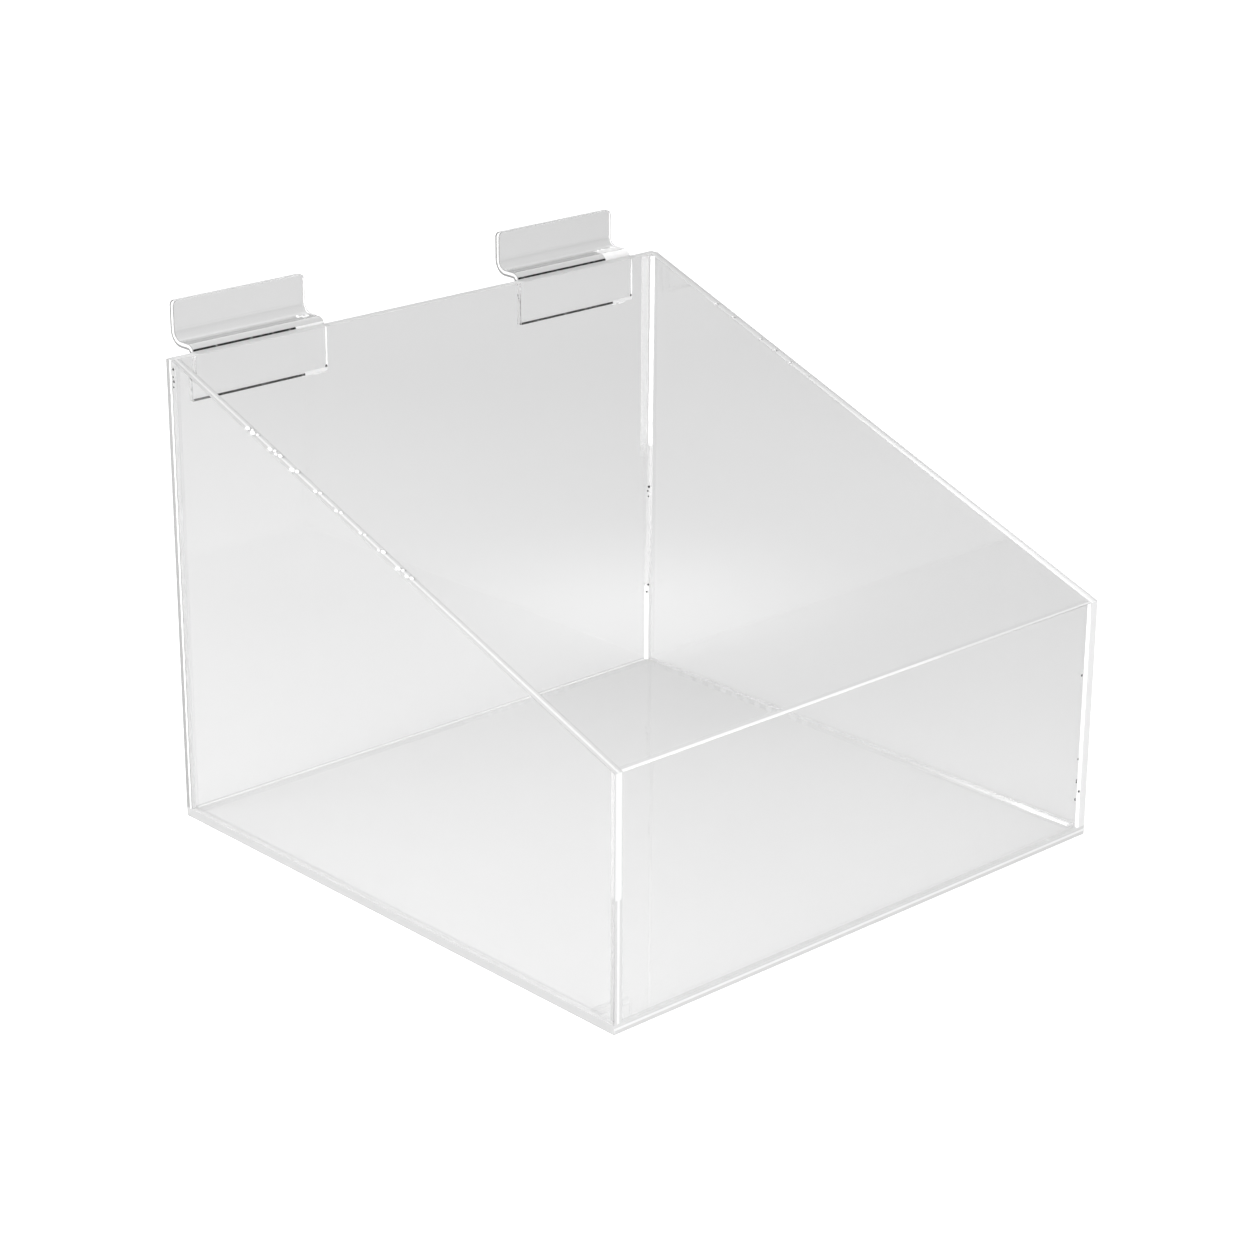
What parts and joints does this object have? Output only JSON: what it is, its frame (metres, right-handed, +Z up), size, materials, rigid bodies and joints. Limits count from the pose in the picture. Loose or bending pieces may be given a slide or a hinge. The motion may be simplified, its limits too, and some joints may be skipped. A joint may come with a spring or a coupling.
{
  "type": "slatwall display bin",
  "caption": "Clear acrylic display bin with an open, forward-sloping top, hung on a slatwall by bent hooks cemented behind its back panel.",
  "frame": {"origin": "middle of the underside of the base plate", "axes": "+Z up, +Y towards the slatwall that the hooks hang on, +X to the right of someone who faces the bin's front"},
  "size_m": [0.2, 0.2115, 0.164],
  "materials": {
    "sheet_acrylic": "clear cast acrylic sheet with flame-polished edges",
    "hook_acrylic": "clear acrylic strip, bent by heat"
  },
  "bodies": {
    "root": {"base_plate": "sheet_acrylic", "back_panel": "sheet_acrylic", "left_side": "sheet_acrylic", "right_side": "sheet_acrylic", "front_panel": "sheet_acrylic", "left_hook": "hook_acrylic", "right_hook": "hook_acrylic"}
  },
  "joints": []
}
